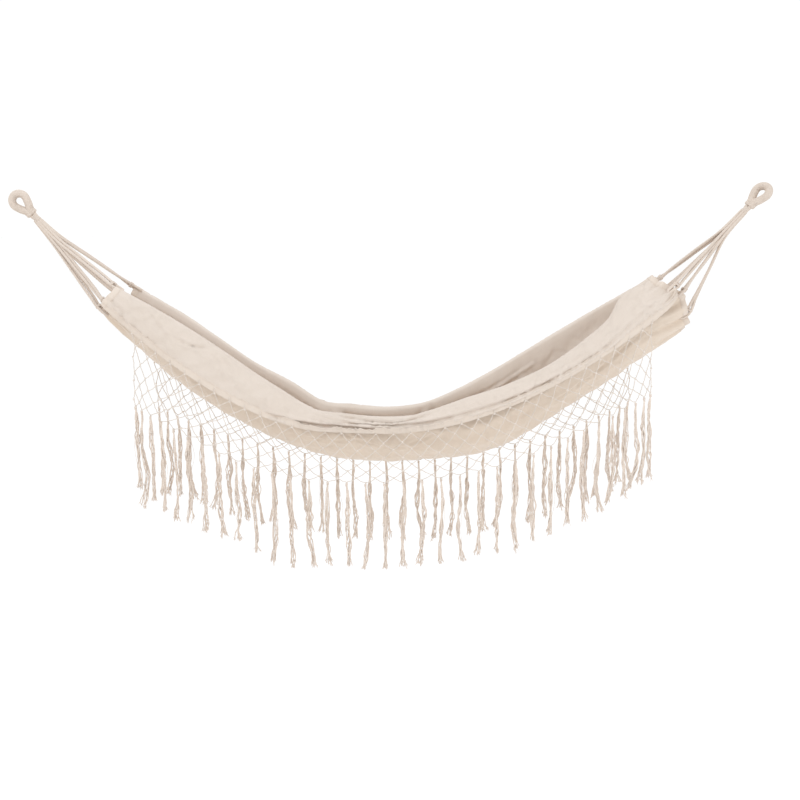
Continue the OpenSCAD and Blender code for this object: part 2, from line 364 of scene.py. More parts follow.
def fit(piece, body, node=None):
    """Rides a piece on a body, and hides the solid it replaces, if any."""
    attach(piece, body)
    if node:
        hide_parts(node)


def give(piece, material):
    piece.data.materials.clear()
    piece.data.materials.append(material)
    return piece


def grid_faces(cols, rows, flip=False):
    faces = []
    for i in range(cols - 1):
        for j in range(rows - 1):
            a = i * rows + j
            face = (a, a + rows, a + rows + 1, a + 1)
            faces.append(face[::-1] if flip else face)
    return faces


def grid_uv(piece, rows, us, vs):
    layer = piece.data.uv_layers.new(name="UVMap")
    for loop in piece.data.loops:
        i, j = divmod(loop.vertex_index, rows)
        layer.data[loop.index].uv = (us[i][j], vs[i][j])


def frames_along(path):
    """Tangents and two steady cross directions along a path."""
    tangent = unit(np.gradient(path, axis=0))
    side = np.zeros_like(path)
    start = np.array([0.0, 1.0, 0.0])
    if abs(tangent[0] @ start) > 0.9:
        start = np.array([1.0, 0.0, 0.0])
    side[0] = unit(start - tangent[0] * (tangent[0] @ start))
    for k in range(1, len(path)):
        s = side[k - 1] - tangent[k] * (tangent[k] @ side[k - 1])
        side[k] = unit(s)
    return tangent, side, np.cross(tangent, side)


def sweep(name, path, ring, closed_ends=True):
    """Tube along a path. ring gives the radii of one ring from its distance along and the angles round it."""
    _, side, up = frames_along(path)
    run = np.concatenate([[0], np.cumsum(np.linalg.norm(np.diff(path, axis=0), axis=1))])
    angles = np.linspace(0, 2 * math.pi, ring.count, endpoint=False)
    verts = []
    for k, p in enumerate(path):
        radii = ring(run[k], run[-1], angles)
        verts.extend(p + r * (math.cos(a) * side[k] + math.sin(a) * up[k]) for a, r in zip(angles, radii))
    n = ring.count
    faces = []
    for k in range(len(path) - 1):
        for j in range(n):
            a, b = k * n + j, k * n + (j + 1) % n
            faces.append((a, b, b + n, a + n))
    if closed_ends:
        last = (len(path) - 1) * n
        verts.append(path[0])
        verts.append(path[-1])
        for j in range(n):
            faces.append((len(verts) - 2, (j + 1) % n, j))
            faces.append((len(verts) - 1, last + j, last + (j + 1) % n))
    piece = mesh_piece(name, verts, faces)
    return piece, path


class TwistedRope:
    """Ring of a three-strand laid rope."""
    count = 18

    def __init__(self, diameter, lay, taper=0.0):
        self.radius = diameter / 2
        self.lay = lay
        self.taper = taper

    def __call__(self, run, length, angles):
        turn = 2 * math.pi * run / self.lay
        lobes = np.abs(np.cos(1.5 * (angles - turn)))
        end = min(run, length - run)
        thin = 1 - 0.35 * self.taper * math.exp(-end / 0.03)
        return self.radius * thin * (0.87 + 0.16 * lobes**0.7)


class Served:
    """Ring of a rope wrapped closely with twine."""
    count = 28

    def __init__(self, diameter, twine, ends=0.0):
        self.radius = diameter / 2
        self.twine = twine
        self.ends = ends

    def __call__(self, run, length, angles):
        phase = math.pi * run / self.twine + angles / 2
        end = min(run, length - run)
        rounded = math.sqrt(max(0.0, 1 - (1 - min(1.0, end / 0.0025)) ** 2)) if self.ends else 1.0
        return self.radius * (0.90 + 0.10 * np.abs(np.sin(phase))) * (0.72 + 0.28 * rounded)


# ---------------------------------------------------------------- settling the cloth
SETTLE_FRAMES = 12
CLOTH_GROWTH = 0.016


def pin_weights(ts):
    """How firmly each point holds its place: fully at the ends, well along the rims, loosely elsewhere."""
    p = np.abs(row_places())[None, :]
    weights = 0.22 + 0.7 * np.exp(-(((p - 1.08) / 0.12) ** 2)) + 0.25 * np.exp(-(((p - 2.0) / 0.08) ** 2))
    weights = np.maximum(weights, np.clip((np.abs(ts) - 0.92) / 0.06, 0, 1)[:, None])
    return np.clip(weights, 0, 1)


def settle(ts, grid):
    """Cloth simulation of the shaped bed. The cloth is a little too large for it, so it buckles softly."""
    cols, rows = grid.shape[:2]
    sheet = mesh_piece("settling", grid.reshape(-1, 3), grid_faces(cols, rows))
    group = sheet.vertex_groups.new(name="pins")
    levels = np.round(pin_weights(ts).reshape(-1) * 20).astype(int)
    for level in range(21):
        chosen = np.nonzero(levels == level)[0].tolist()
        if chosen:
            group.add(chosen, level / 20, "REPLACE")
    cloth = sheet.modifiers.new("cloth", "CLOTH")
    settings = cloth.settings
    settings.quality = 4
    settings.mass = 0.0002
    settings.air_damping = 2
    settings.tension_stiffness = 12
    settings.compression_stiffness = 12
    settings.shear_stiffness = 6
    settings.bending_stiffness = 0.12
    settings.vertex_group_mass = "pins"
    settings.pin_stiffness = 0.6
    settings.shrink_min = -CLOTH_GROWTH
    settings.shrink_max = -CLOTH_GROWTH
    settings.effector_weights.gravity = 0.3
    cloth.point_cache.frame_end = SETTLE_FRAMES
    for frame_number in range(1, SETTLE_FRAMES + 1):
        bpy.context.scene.frame_set(frame_number)
    settled = sheet.evaluated_get(bpy.context.evaluated_depsgraph_get()).data
    places = np.zeros(cols * rows * 3)
    settled.vertices.foreach_get("co", places)
    mesh = sheet.data
    bpy.data.objects.remove(sheet)
    bpy.data.meshes.remove(mesh)
    bpy.context.scene.frame_set(1)
    return places.reshape(grid.shape)


# ---------------------------------------------------------------- yarns, by geometry nodes
def yarn_tree():
    """Turns a net of edges into round yarns, with a lump of the right size at every marked point."""
    tree = bpy.data.node_groups.new("yarns", "GeometryNodeTree")
    face = tree.interface
    face.new_socket("Geometry", in_out="INPUT", socket_type="NodeSocketGeometry")
    for label, kind in (("Yarn radius", "NodeSocketFloat"), ("Knot radius", "NodeSocketFloat"),
                        ("Sides", "NodeSocketInt"), ("Yarn", "NodeSocketMaterial")):
        face.new_socket(label, in_out="INPUT", socket_type=kind)
    face.new_socket("Geometry", in_out="OUTPUT", socket_type="NodeSocketGeometry")

    def node(kind, settings=(), links=()):
        made = tree.nodes.new(kind)
        for key, value in dict(settings).items():
            setattr(made, key, value)
        for key, value in dict(links).items():
            if isinstance(value, bpy.types.NodeSocket):
                tree.links.new(value, made.inputs[key])
            else:
                made.inputs[key].default_value = value
        return made

    given = node("NodeGroupInput").outputs
    thick = node("GeometryNodeInputNamedAttribute", {"data_type": "FLOAT"}, {"Name": "thick"})
    spline = node("GeometryNodeMeshToCurve", {}, {"Mesh": given["Geometry"]})
    length = node("GeometryNodeSplineParameter")
    marked = node("GeometryNodeStoreNamedAttribute", {"data_type": "FLOAT", "domain": "POINT"},
                  {"Geometry": spline.outputs["Curve"], "Name": "along", "Value": length.outputs["Length"]})
    round_one = node("GeometryNodeCurvePrimitiveCircle", {"mode": "RADIUS"},
                     {"Resolution": given["Sides"], "Radius": given["Yarn radius"]})
    tube = node("GeometryNodeCurveToMesh", {}, {"Curve": marked.outputs["Geometry"],
                "Profile Curve": round_one.outputs["Curve"], "Scale": thick.outputs["Attribute"],
                "Fill Caps": True})
    knotted = node("GeometryNodeInputNamedAttribute", {"data_type": "FLOAT"}, {"Name": "knot"})
    has_knot = node("FunctionNodeCompare", {"data_type": "FLOAT", "operation": "GREATER_THAN"},
                    {0: knotted.outputs["Attribute"], 1: 0.01})
    ball = node("GeometryNodeMeshIcoSphere", {}, {"Radius": given["Knot radius"], "Subdivisions": 2})
    size = node("ShaderNodeCombineXYZ", {}, {"X": knotted.outputs["Attribute"],
                "Y": knotted.outputs["Attribute"], "Z": knotted.outputs["Attribute"]})
    lumps = node("GeometryNodeInstanceOnPoints", {}, {"Points": given["Geometry"],
                 "Selection": has_knot.outputs["Result"], "Instance": ball.outputs["Mesh"],
                 "Scale": size.outputs["Vector"]})
    joined = node("GeometryNodeJoinGeometry")
    tree.links.new(tube.outputs["Mesh"], joined.inputs[0])
    tree.links.new(lumps.outputs["Instances"], joined.inputs[0])
    real = node("GeometryNodeRealizeInstances", {}, {"Geometry": joined.outputs["Geometry"]})
    smooth = node("GeometryNodeSetShadeSmooth", {}, {0: real.outputs["Geometry"]})
    painted = node("GeometryNodeSetMaterial", {}, {"Geometry": smooth.outputs[0], "Material": given["Yarn"]})
    node("NodeGroupOutput", {}, {"Geometry": painted.outputs["Geometry"]})
    return tree


def yarns(name, tree, material, lines, radius, sides=6, knots=(), knot_radius=0.0):
    """Plain mesh of yarns along lines of (points, thickness list), and lumps at (point, size) knots."""
    verts, edges, thick, lump = [], [], [], []
    for points, widths in lines:
        base = len(verts)
        verts.extend(tuple(p) for p in points)
        edges.extend((base + k, base + k + 1) for k in range(len(points) - 1))
        thick.extend(np.broadcast_to(widths, len(points)))
        lump.extend([0.0] * len(points))
    for point, size in knots:
        verts.append(tuple(point))
        thick.append(1.0)
        lump.append(size)
    mesh = bpy.data.meshes.new(name + "_lines")
    mesh.from_pydata(verts, edges, [])
    mesh.attributes.new("thick", "FLOAT", "POINT").data.foreach_set("value", np.array(thick, np.float32))
    mesh.attributes.new("knot", "FLOAT", "POINT").data.foreach_set("value", np.array(lump, np.float32))
    lined = bpy.data.objects.new(name + "_lines", mesh)
    bpy.context.scene.collection.objects.link(lined)
    modifier = lined.modifiers.new("yarns", "NODES")
    modifier.node_group = tree
    values = {"Yarn radius": radius, "Knot radius": knot_radius, "Sides": sides, "Yarn": material}
    for item in tree.interface.items_tree:
        if item.in_out == "INPUT" and item.name in values:
            modifier[item.identifier] = values[item.name]
    graph = bpy.context.evaluated_depsgraph_get()
    made = bpy.data.meshes.new_from_object(lined.evaluated_get(graph))
    made.name = name
    bpy.data.objects.remove(lined)
    bpy.data.meshes.remove(mesh)
    piece = bpy.data.objects.new(name, made)
    bpy.context.scene.collection.objects.link(piece)
    return piece


# ---------------------------------------------------------------- shader maths
class Socket:
    """One shader output that can be used in a sum."""

    def __init__(self, paint, socket):
        self.paint = paint
        self.socket = socket

    def maths(self, operation, a, b=0.0):
        return self.paint.node("ShaderNodeMath", {"operation": operation}, {0: a, 1: b})

    def __add__(self, other):
        return self.maths("ADD", self, other)

    def __sub__(self, other):
        return self.maths("SUBTRACT", self, other)

    def __mul__(self, other):
        return self.maths("MULTIPLY", self, other)

    def __truediv__(self, other):
        return self.maths("DIVIDE", self, other)

    def __rsub__(self, other):
        return self.maths("SUBTRACT", other, self)

    def sine(self):
        return self.maths("SINE", self)

    def size(self):
        return self.maths("ABSOLUTE", self)

    def power(self, exponent):
        return self.maths("POWER", self, exponent)

    __radd__ = __add__
    __rmul__ = __mul__


class Paint:
    """A cotton finish built from nodes on one Principled shader."""

    def __init__(self, name, roughness=0.9, sheen=0.25):
        self.material = bpy.data.materials.new(name)
        self.material.use_nodes = True
        self.tree = self.material.node_tree
        self.shader = self.tree.nodes["Principled BSDF"]
        self.shader.inputs["Roughness"].default_value = roughness
        self.shader.inputs["Sheen Weight"].default_value = sheen
        self.shader.inputs["Sheen Roughness"].default_value = 0.5
        self.shader.inputs["Specular IOR Level"].default_value = 0.25

    def node(self, kind, settings=(), inputs=(), out=0):
        made = self.tree.nodes.new(kind)
        for key, value in dict(settings).items():
            if key == "stops":
                self.set_stops(made.color_ramp, value)
            else:
                setattr(made, key, value)
        for key, value in dict(inputs).items():
            self.feed(made.inputs[key], value)
        return Socket(self, made.outputs[out])

    def feed(self, target, value):
        if isinstance(value, Socket):
            self.tree.links.new(value.socket, target)
        else:
            target.default_value = value

    @staticmethod
    def set_stops(ramp, stops):
        while len(ramp.elements) < len(stops):
            ramp.elements.new(0.5)
        for element, (place, colour) in zip(ramp.elements, stops):
            element.position = place
            element.color = (*colour, 1)

    def noise(self, vector, scale, detail=3.0, roughness=0.55):
        return self.node("ShaderNodeTexNoise", {}, {"Vector": vector, "Scale": scale,
                         "Detail": detail, "Roughness": roughness})

    def stretched(self, vector, factors):
        return self.node("ShaderNodeMapping", {}, {"Vector": vector, "Scale": factors})

    def blend(self, factor, a, b):
        first, second = [(*c, 1) if isinstance(c, tuple) else c for c in (a, b)]
        return self.node("ShaderNodeMix", {"data_type": "RGBA"}, {0: factor, 6: first, 7: second}, out=2)

    def colour(self, value):
        self.feed(self.shader.inputs["Base Color"], value)

    def rough(self, value):
        self.feed(self.shader.inputs["Roughness"], value)

    def bump(self, height, distance, strength=1.0):
        self.feed(self.shader.inputs["Normal"], self.node("ShaderNodeBump", {},
                  {"Height": height, "Distance": distance, "Strength": strength}))


CREAM = (0.712, 0.612, 0.530)
SHADE = (0.600, 0.500, 0.412)
THREAD = 0.00125


def woven_cotton(name, light, dark):
    """Plain weave at thread scale on the piece's UV map, in metres, with slubs and faint blotches."""
    paint = Paint(name)
    uv = paint.node("ShaderNodeTexCoord", out=2)
    place = paint.node("ShaderNodeTexCoord", out=3)
    parts = paint.node("ShaderNodeSeparateXYZ", {}, {0: uv})
    weft = Socket(paint, parts.socket.node.outputs[1])
    warp_wave = (parts * (math.pi / THREAD)).sine()
    weft_wave = (weft * (math.pi / THREAD)).sine()
    over = warp_wave * weft_wave * 0.5 + 0.5
    weave = warp_wave.size() * over + weft_wave.size() * (1 - over)
    slub_along = paint.noise(paint.stretched(uv, (28, 900, 1)), 1.0, 2.0)
    slub_across = paint.noise(paint.stretched(uv, (900, 28, 1)), 1.0, 2.0)
    blotch = paint.noise(place, 9.0, 4.0)
    slubs = slub_along * 0.5 + slub_across * 0.5
    tone = slubs * 0.9 + blotch * 0.5 + weave * 0.12 - 0.38
    paint.colour(paint.blend(tone, dark, light))
    paint.rough(slubs * 0.15 + 0.80)
    paint.bump(weave * 0.6 + slubs * 1.3, 0.00022, 0.8)
    return paint.material


def spun_cotton(name, light, dark, hair=0.0003):
    """Cotton yarn: fine fibres and small changes of tone along it."""
    paint = Paint(name, sheen=0.3)
    place = paint.node("ShaderNodeTexCoord", out=3)
    fibres = paint.noise(paint.stretched(place, (900, 900, 260)), 1.0, 3.0)
    tone = paint.noise(place, 38.0, 3.0)
    fleck = paint.noise(place, 260.0, 2.0)
    paint.colour(paint.blend(fibres * 0.5 + tone * 0.5 + fleck * 0.9 - 0.45, dark, light))
    paint.rough(fibres * 0.2 + 0.75)
    paint.bump(fibres, hair, 0.9)
    return paint.material


def plied_yarn(name, light, dark, ply):
    """Yarn whose plies show as fine slanting bands along its length."""
    paint = Paint(name, sheen=0.3)
    place = paint.node("ShaderNodeTexCoord", out=3)
    along = paint.node("ShaderNodeAttribute", {"attribute_name": "along"}, out=2)
    wobble = paint.noise(place, 160.0, 2.0)
    bands = (along * (2 * math.pi / ply) + wobble * 2.5).sine() * 0.5 + 0.5
    tone = paint.noise(place, 30.0, 3.0)
    paint.colour(paint.blend(bands * 0.35 + tone * 0.8 - 0.05, dark, light))
    paint.rough(bands * 0.1 + 0.8)
    paint.bump(bands, 0.0003, 0.9)
    return paint.material


def plain_floor(name):
    paint = Paint(name, roughness=0.8, sheen=0.0)
    place = paint.node("ShaderNodeTexCoord", out=3)
    paint.colour(paint.blend(paint.noise(place, 0.6), (0.955, 0.955, 0.955), (0.97, 0.97, 0.97)))
    return paint.material


# ---------------------------------------------------------------- camera and light
def set_camera():
    pitch = math.radians(11)
    roll = math.radians(0.65)
    look = Vector((0, math.cos(pitch), -math.sin(pitch)))
    up = Vector((0, math.sin(pitch), math.cos(pitch)))
    right = Vector((1, 0, 0))
    aim = Vector((MID + 0.020, 0, -0.587))
    turned_right = right * math.cos(roll) - up * math.sin(roll)
    turned_up = up * math.cos(roll) + right * math.sin(roll)
    lens = bpy.data.cameras.new("camera")
    lens.sensor_width = 36
    lens.lens = 46.44
    lens.clip_end = 60
    camera = bpy.data.objects.new("camera", lens)
    bpy.context.scene.collection.objects.link(camera)
    place = aim - look * 3.0
    camera.matrix_world = Matrix(((turned_right.x, turned_up.x, -look.x, place.x),
                                  (turned_right.y, turned_up.y, -look.y, place.y),
                                  (turned_right.z, turned_up.z, -look.z, place.z),
                                  (0, 0, 0, 1)))
    bpy.context.scene.camera = camera


# Name, place, power and size
LAMPS = (("key", (MID - 0.7, -2.4, 2.4), 36, 1.4), ("top", (MID - 0.3, 0.6, 2.4), 10, 1.8),
         ("low", (MID + 1.9, -2.0, -1.2), 12, 1.4), ("side", (MID - 2.4, -1.4, 1.4), 9, 1.4))


def set_light():
    scene = bpy.context.scene
    scene.view_settings.view_transform = "Standard"
    world = bpy.data.worlds.new("studio")
    world.use_nodes = True
    world.node_tree.nodes["Background"].inputs["Color"].default_value = (1, 1, 1, 1)
    world.node_tree.nodes["Background"].inputs["Strength"].default_value = 1.05
    scene.world = world
    for name, place, power, size in LAMPS:
        lamp = bpy.data.lights.new(name, "AREA")
        lamp.energy = power
        lamp.size = size
        lamp.color = (0.66, 0.82, 1.0)
        thing = bpy.data.objects.new(name, lamp)
        thing.location = place
        aim = Vector((MID, 0, -0.6)) - Vector(place)
        thing.rotation_euler = aim.to_track_quat("-Z", "Y").to_euler()
        scene.collection.objects.link(thing)
    floor = mesh_piece("floor", [(-60, -60, -1.9), (60, -60, -1.9), (60, 60, -1.9), (-60, 60, -1.9)],
                       [(0, 1, 2, 3)], smooth=False)
    give(floor, plain_floor("studio_floor"))


# ---------------------------------------------------------------- the cloth and its hems
def flat_lengths(grid):
    """Distance along each column and across each row, for a pattern that follows the cloth."""
    along = np.linalg.norm(np.diff(grid, axis=0), axis=2)
    across = np.linalg.norm(np.diff(grid, axis=1), axis=2)
    us = np.zeros(grid.shape[:2])
    us[1:] = np.cumsum(along, axis=0)
    us -= us[len(us) // 2]
    vs = np.zeros(grid.shape[:2])
    vs[:, 1:] = np.cumsum(across, axis=1)
    vs -= vs[:, vs.shape[1] // 2][:, None]
    return us, vs


def cloth_piece(grid, material, painted_shade_side):
    cols, rows = grid.shape[:2]
    piece = mesh_piece("bed_cloth_woven", grid.reshape(-1, 3), grid_faces(cols, rows))
    us, vs = flat_lengths(grid)
    grid_uv(piece, rows, us, vs)
    give(piece, material)
    # The back shell of the cloth takes the second material, a warmer tan copy of the cotton that is painted warm
    # shade
    piece.data.materials.append(painted_shade_side)
    thick = piece.modifiers.new("cloth thickness", "SOLIDIFY")
    thick.thickness = CLOTH_T
    thick.offset = 0
    thick.material_offset = 1
    return piece


def band(name, centre, along, out, width, thickness, material, start=0.0):
    """Flat folded hem: a rounded strip that follows a line of the cloth. It reaches from the line inwards."""
    n = 12
    angles = np.linspace(0, 2 * math.pi, n, endpoint=False)
    verts, us, vs = [], [], []
    run = np.concatenate([[0], np.cumsum(np.linalg.norm(np.diff(centre, axis=0), axis=1))])
    for k, p in enumerate(centre):
        for a in angles:
            c, s = math.cos(a), math.sin(a)
            flat = math.copysign(abs(c) ** 0.35, c) * width / 2
            proud = math.copysign(abs(s) ** 0.6, s) * thickness / 2
            verts.append(p + along[k] * (flat + width / 2 + start) + out[k] * proud)
            us.append(run[k])
            vs.append(flat)
    faces = []
    for k in range(len(centre) - 1):
        for j in range(n):
            a, b = k * n + j, k * n + (j + 1) % n
            faces.append((a, b, b + n, a + n))
    last = (len(centre) - 1) * n
    faces.append(tuple(range(n - 1, -1, -1)))
    faces.append(tuple(last + j for j in range(n)))
    piece = mesh_piece(name, verts, faces)
    layer = piece.data.uv_layers.new(name="UVMap")
    for loop in piece.data.loops:
        layer.data[loop.index].uv = (us[loop.vertex_index], vs[loop.vertex_index])
    tidy_normals(piece)
    return give(piece, material)


def tidy_normals(piece):
    work = bmesh.new()
    work.from_mesh(piece.data)
    bmesh.ops.recalc_face_normals(work, faces=work.faces)
    work.to_mesh(piece.data)
    work.free()


def stitches(line, out, lift, length=0.0034, gap=0.0016):
    """Short yarn stitches along a line, standing a little proud of the cloth."""
    run = np.concatenate([[0], np.cumsum(np.linalg.norm(np.diff(line, axis=0), axis=1))])
    made = []
    place = 0.004
    while place + length < run[-1]:
        want = np.linspace(place, place + length, 4)
        pts = np.stack([np.interp(want, run, line[:, k]) for k in range(3)], axis=1)
        ups = np.stack([np.interp(want, run, out[:, k]) for k in range(3)], axis=1)
        arch = np.array([-0.0006, 0.0001, 0.0001, -0.0006])[:, None]
        made.append((pts + ups * (lift + arch), 1.0))
        place += length + gap
    return made


# ---------------------------------------------------------------- net and tassels
def knot_u(k, side):
    """Distance from mid length of knot k. The knots crowd together towards the ends of the fringe."""
    last = PAIRS * KNOT_PITCH[side]
    arc = k * KNOT_PITCH[side]
    return arc * (1 - (1 - FRINGE_HALF / last) * (abs(arc) / last) ** 3)


def stitch_u(k):
    """Distance from mid length of hem stitch k. The net spreads outwards below its stitches."""
    return k * STITCH_PITCH * (1 - STITCH_CROWDING * abs(k))


def edge_line(grid, side):
    return grid[:, 0] if side < 0 else grid[:, -1]


def net_points(grid, side):
    """Knot places by (half step, row). Even half steps hang from the hem. The last row carries the tassels."""
    dice = np.random.default_rng(21 + side)
    hem = edge_line(grid, side)
    points = {}
    last = 2 * PAIRS
    for k in range(-last, last + 1):
        # The outermost knots hang close below one another
        half = np.clip(k, 0.6 - last, last - 0.6) / 2
        u = knot_u(half, side)
        top = np.array([np.interp(MID + stitch_u(half), hem[:, 0], hem[:, axis]) for axis in range(3)])
        low = np.array([MID + u, side * NET_Y, float(knot_z(u, side))])
        for row in range(NET_ROWS + 1):
            if (k + row) % 2:
                continue
            f = 1 - (1 - row / NET_ROWS) ** NET_CROWDING
            p = top + (low - top) * f
            if 0 < row < NET_ROWS:
                p = p + dice.normal(0, 1, 3) * [0.0013, 0.0016, 0.0013]
            points[(k, row)] = p
    return points


def hanging_strand(a, b, sag, count=6):
    f = np.linspace(0, 1, count)[:, None]
    line = a + (b - a) * f
    line[:, 2] -= sag * 4 * (f[:, 0] * (1 - f[:, 0]))
    return line


def make_net(grid, side, name, tree, material):
    dice = np.random.default_rng(31 + side)
    points = net_points(grid, side)
    lines, knots = [], []
    for (k, row), p in points.items():
        for step in (-1, 1):
            q = points.get((k + step, row + 1))
            if q is not None:
                line = hanging_strand(p, q, 0.0010 + 0.0020 * dice.random())
                line[1:-1] += dice.normal(0, 0.0006, (len(line) - 2, 3))
                lines.append((line, 1.0))
        if 0 < row < NET_ROWS:
            knots.append((p + dice.normal(0, 0.0002, 3), 0.85 + 0.4 * dice.random()))
    out = 0.0032
    for (k, row), p in points.items():
        if row == 0:
            over = np.array([p + [0, side * 0.0006, -0.002], p + [0, side * out, 0.003],
                             p + [0.0006, side * (out - 0.0004), 0.010], p + [0.0006, side * 0.0010, 0.0125]])
            lines.append((over, 1.25))
            knots.append((p + np.array([0, side * 0.0008, -0.003]), 1.1))
    piece = yarns(name, tree, material, lines, NET_YARN_R, 7, knots, 0.0026)
    return piece, points


def tassel_lines(top, seed):
    """Yarns of one tassel: a loose, wandering bundle, narrow at the knot, with brushed-out ends."""
    dice = np.random.default_rng(seed)
    length = TASSEL_LEN * (1 + dice.normal(0, 0.035))
    turns = dice.choice((-1, 1)) * dice.uniform(0.7, 1.7)
    f = np.linspace(0, 1, 34)
    axis = np.zeros((len(f), 2))
    for n, sway in enumerate((0.0050, 0.0034, 0.0020)):
        for k in range(2):
            size = dice.normal(0, sway)
            axis[:, k] += size * np.sin(math.pi * (n + 1) * 1.1 * f + dice.uniform(0, 1)) * f**0.8
    axis[:, 1] *= 0.55
    pinch = 0.85 + 0.50 * soft_noise(seed * 3 + 1, 2.6 * f)
    spread = 0.0008 + 0.0064 * np.clip(f / 0.40, 0, 1) ** 0.8 * pinch
    spread = spread + 0.0026 * np.clip((f - 0.88) / 0.12, 0, 1) ** 1.5
    lines = []
    for yarn in range(TASSEL_YARNS):
        around = 2 * math.pi * (yarn * 0.618 + dice.uniform(0, 0.15))
        share = 0.30 + 0.75 * dice.random()
        angle = around + 2 * math.pi * turns * f + 0.9 * soft_noise(seed * 7 + yarn, 1.8 * f)
        reach = length * (1 + dice.normal(0, 0.02))
        pts = np.zeros((len(f), 3))
        for k, wave in enumerate((np.cos(angle), np.sin(angle))):
            stray = 0.0017 * soft_noise(seed * 11 + 2 * yarn + k, 5.0 * f) * np.clip(f / 0.1, 0, 1)
            pts[:, k] = axis[:, k] + spread * share * wave + stray
        pts[:, 2] = -reach * f
        lines.append((pts + top, 1.0 + 0.16 * soft_noise(seed * 17 + yarn, 3 * f)))
        lines.extend(brushed_end(pts[-1] + top, unit(pts[-1] - pts[-3]), dice))
    if dice.random() < 0.35:
        lines.append(stray_thread(top, axis, length, dice))
    return lines


def brushed_end(tip, down, dice):
    """Fine ends of one yarn, spreading a little."""
    ends = []
    f = np.linspace(0, 1, 4)[:, None]
    for _ in range(6):
        out = down * dice.uniform(0.006, 0.015) + dice.normal(0, 0.0019, 3) * [1, 1, 0.3]
        curl = dice.normal(0, 0.0012, 3) * [1, 1, 0] * f**2
        ends.append((tip - down * 0.001 + out * f + curl, 0.5 - 0.2 * f[:, 0]))
    return ends


def stray_thread(top, axis, length, dice):
    """One thin thread that leaves the bundle in a slack loop."""
    place = np.linspace(dice.uniform(0.15, 0.45), dice.uniform(0.70, 0.98), 16)
    bow = np.sin(math.pi * (place - place[0]) / (place[-1] - place[0]))
    way = unit(dice.normal(0, 1, 2)) * [1, 0.4]
    pts = np.zeros((len(place), 3))
    for k in range(2):
        within = np.interp(place, np.linspace(0, 1, len(axis)), axis[:, k])
        pts[:, k] = within + way[k] * bow * dice.uniform(0.008, 0.020)
    pts[:, 2] = -length * place
    return pts + top, 0.36


def knot_turns(top, radius, seed):
    """The overhand knot that closes a tassel: two slanted turns of yarn round a small core."""
    dice = np.random.default_rng(seed)
    a = np.linspace(0, 4.6 * math.pi, 40) + dice.uniform(0, 6)
    tilt = dice.uniform(-0.5, 0.5)
    pts = np.stack([radius * np.cos(a), radius * np.sin(a),
                    -0.002 - 0.009 * np.linspace(0, 1, 40) + 0.0018 * np.sin(a + tilt * 3)], axis=1)
    return pts + top


def make_tassels(points, side, row_name, tree, material):
    for pair in range(1, PAIRS + 1):
        lines, knots = [], []
        for end in (-1, 1):
            k = end * (2 * pair - 1)
            top = points[(k, NET_ROWS)]
            seed = 100 + 40 * pair + 3 * end + 7 * side
            lines.extend(tassel_lines(top + np.array([0, 0, -0.006]), seed))
            lines.append((knot_turns(top, 0.0026, seed), 0.80))
            knots.append((top + np.array([0, 0, -0.006]), 1.0))
        name = f"{row_name}_tassels_{pair}"
        piece = yarns(name + "_yarn", tree, material, lines, YARN_R, 6, knots, 0.0026)
        fit(piece, f"{row_name}_fringe_{pair}", name)


# ---------------------------------------------------------------- eyes, necks and cords
def eye_point(end, s, r, turn):
    """Place of a point s down an eye's axis and r beside it. end is -1 on the left and 1 on the right."""
    down = np.array([-end * math.cos(NECK_SLOPE), 0, -math.sin(NECK_SLOPE)])
    beside = np.array([-end * math.sin(NECK_SLOPE), 0, math.cos(NECK_SLOPE)])
    across = np.array([0, 1.0, 0])
    base = np.array([MID + end * MID, 0, 0])
    return base + down * s + r * (beside * math.cos(turn) + across * math.sin(turn))


HOLE_R = 0.0090
SERVED_D = 0.0225
EYE_APEX = 0.054
SERVED_END = 0.060


def eye_outline(count=80):
    """Half-plane outline of the rope loop: an arc round the hole and two legs that close on the neck."""
    r = HOLE_R + SERVED_D / 2
    lean = math.acos(r / (EYE_APEX - HOLE_R))
    arc = np.linspace(lean, 2 * math.pi - lean, count)
    pts = [(HOLE_R + r * math.cos(a), r * math.sin(a)) for a in arc]
    close = EYE_APEX - HOLE_R - r * math.cos(lean)
    leg = [(s, max(0.0058, r * (EYE_APEX - s) / close)) for s in (0.030, 0.045, SERVED_END)]
    return leg[::-1] + pts + [(s, -y) for s, y in leg]


def make_eye(end, rope, twine, strand):
    side = "left" if end < 0 else "right"
    turn = 0.0 if end < 0 else RIGHT_EYE_TURN
    loop = path_through([eye_point(end, s, r, turn) for s, r in eye_outline(18)], 0.00048)
    served, _ = sweep(side + "_eye_served", loop, Served(SERVED_D, SERVING_TWINE_D, ends=1.0))
    give(served, rope)
    fit(served, "hangers", side + "_eye")
    legs = []
    for s in (-1, 1):
        pts = [eye_point(end, SERVED_END - 0.012, s * 0.0064, turn),
               eye_point(end, SERVED_END + 0.004, s * 0.0048, turn),
               eye_point(end, SERVED_END + 0.014, s * 0.0034, turn),
               eye_point(end, NECK_REACH + 0.002, s * 0.0030, turn)]
        leg, _ = sweep(f"{side}_neck_leg_{1 if s < 0 else 2}", path_through(pts, 0.0012),
                       TwistedRope(NECK_LEG_D, NECK_LEG_LAY))
        give(leg, strand)
        fit(leg, "hangers")
        legs.append(leg)
    neck = path_through([eye_point(end, s, 0, 0) for s in (0.064, 0.070, 0.076, 0.083)], 0.00045)
    bound, _ = sweep(side + "_whipping_bound", neck, Served(WHIPPING_D, WHIPPING_TWINE_D, ends=1.0))
    give(bound, twine)
    fit(bound, "hangers", side + "_whipping")


# Where each doubled cord lies among the gathered strands: across, then beside, metres
NECK_SPREAD = ((-0.0065, 0.0020), (-0.0065, -0.0062), (0.0, -0.0130), (0.0065, -0.0050), (0.0050, 0.0105))


# How far below each neck the cords part, and how widely they lie there
FAN_REACH = {-1: 0.070, 1: 0.082}
FAN_WIDTH = {-1: 1.0, 1: 0.75}
